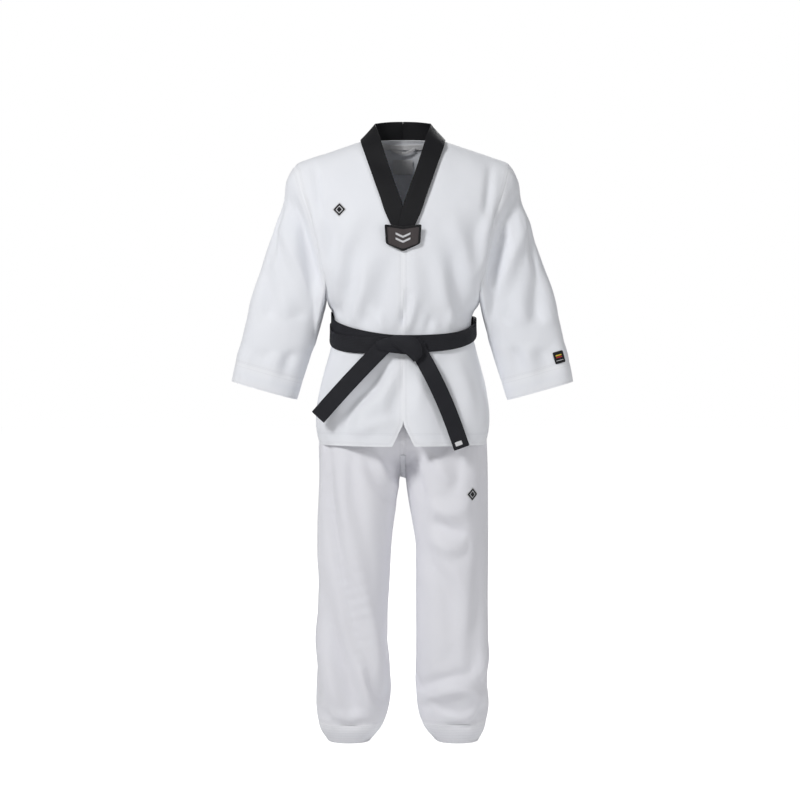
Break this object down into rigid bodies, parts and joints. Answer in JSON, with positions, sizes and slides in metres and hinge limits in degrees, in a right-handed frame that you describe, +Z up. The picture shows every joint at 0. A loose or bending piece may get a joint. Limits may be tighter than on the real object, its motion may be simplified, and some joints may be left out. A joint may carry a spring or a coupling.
{
  "type": "martial arts uniform",
  "caption": "V-neck martial arts jacket with black collar, tied black belt and loose drawcord trousers, standing as worn with nobody inside.",
  "frame": {"origin": "centre of the uniform as seen from above, at the level of the trouser hems", "axes": "+Z up; the front faces -Y; +X is the wearer's left"},
  "size_m": [0.8204, 0.3137, 1.491],
  "materials": {
    "jacket_cotton": "matte ribbed white cotton",
    "trouser_cotton": "matte white cotton",
    "hem_cotton": "doubled, row-stitched white cotton",
    "gusset_cotton": "light mesh",
    "collar_black": "black twill with stitched rows",
    "belt_black": "black cotton with stitched rows",
    "badge_ground": "dark woven patch",
    "badge_border": "satin overlock stitch",
    "badge_thread": "embroidered thread",
    "emblem_thread": "black embroidered thread",
    "label_tape": "white woven tape",
    "elastic": "ribbed white elastic",
    "cord": "braided white cord",
    "eyelet_metal": "satin"
  },
  "bodies": {
    "torso": {"front_panel_left": "jacket_cotton", "front_panel_right": "jacket_cotton", "back_panel": "jacket_cotton", "gusset_left": "gusset_cotton", "gusset_right": "gusset_cotton", "collar_band_left": "collar_black", "collar_band_right": "collar_black", "neck_tape": "label_tape", "hanging_loop": "label_tape", "size_label": "label_tape", "chest_badge": "badge_ground", "badge_border": "badge_border", "badge_motif": "badge_thread", "chest_emblem": "emblem_thread", "belt_inner_wrap": "belt_black", "belt_outer_wrap": "belt_black", "belt_knot": "belt_black", "belt_knot_core": "belt_black", "waistband": "trouser_cotton", "waist_elastic": "elastic", "drawcord_eyelets": "eyelet_metal", "trouser_seat_left": "trouser_cotton", "trouser_seat_right": "trouser_cotton", "crotch_gusset": "trouser_cotton"},
    "sleeve_left": {"sleeve_left": "jacket_cotton", "cuff_hem_left": "hem_cotton", "sleeve_label": "emblem_thread"},
    "sleeve_right": {"sleeve_right": "jacket_cotton", "cuff_hem_right": "hem_cotton"},
    "front_skirt": {"front_skirt_left": "jacket_cotton", "front_skirt_right": "jacket_cotton"},
    "back_skirt": {"back_skirt": "jacket_cotton"},
    "belt_tail_left": {"belt_tail_left": "belt_black", "belt_label": "label_tape"},
    "belt_tail_right": {"belt_tail_right": "belt_black"},
    "leg_left": {"trouser_leg_left": "trouser_cotton", "ankle_hem_left": "hem_cotton", "leg_emblem": "emblem_thread"},
    "leg_right": {"trouser_leg_right": "trouser_cotton", "ankle_hem_right": "hem_cotton"},
    "drawcord_left": {"drawcord_left": "cord"},
    "drawcord_right": {"drawcord_right": "cord"}
  },
  "joints": [
    {"name": "sleeve_left_raise", "type": "hinge", "parent": "torso", "child": "sleeve_left", "pos_m": [0.198, 0, 1.318], "axis": [0, -1, 0], "range_deg": [0, 60]},
    {"name": "sleeve_right_raise", "type": "hinge", "parent": "torso", "child": "sleeve_right", "pos_m": [-0.198, 0, 1.318], "axis": [0, 1, 0], "range_deg": [0, 60]},
    {"name": "front_skirt_lift", "type": "hinge", "parent": "torso", "child": "front_skirt", "pos_m": [0, -0.155, 0.95], "axis": [-1, 0, 0], "range_deg": [0, 40]},
    {"name": "back_skirt_lift", "type": "hinge", "parent": "torso", "child": "back_skirt", "pos_m": [0, 0.15, 0.975], "axis": [1, 0, 0], "range_deg": [0, 35]},
    {"name": "belt_tail_left_swing", "type": "hinge", "parent": "front_skirt", "child": "belt_tail_left", "pos_m": [0.03, -0.157, 0.948], "axis": [0.1908, -0.9816, 0], "range_deg": [-20, 30]},
    {"name": "belt_tail_right_swing", "type": "hinge", "parent": "front_skirt", "child": "belt_tail_right", "pos_m": [-0.042, -0.157, 0.95], "axis": [0.1908, 0.9816, 0], "range_deg": [-38, 15]},
    {"name": "leg_left_swing", "type": "hinge", "parent": "torso", "child": "leg_left", "pos_m": [0.108, 0, 0.665], "axis": [-1, 0, 0], "range_deg": [-20, 45]},
    {"name": "leg_right_swing", "type": "hinge", "parent": "torso", "child": "leg_right", "pos_m": [-0.108, 0, 0.665], "axis": [-1, 0, 0], "range_deg": [-20, 45]},
    {"name": "drawcord_left_swing", "type": "hinge", "parent": "torso", "child": "drawcord_left", "pos_m": [0.015, -0.1182, 0.995], "axis": [0, -1, 0], "range_deg": [-5, 30]},
    {"name": "drawcord_right_swing", "type": "hinge", "parent": "torso", "child": "drawcord_right", "pos_m": [-0.015, -0.1182, 0.995], "axis": [0, 1, 0], "range_deg": [-5, 30]}
  ]
}
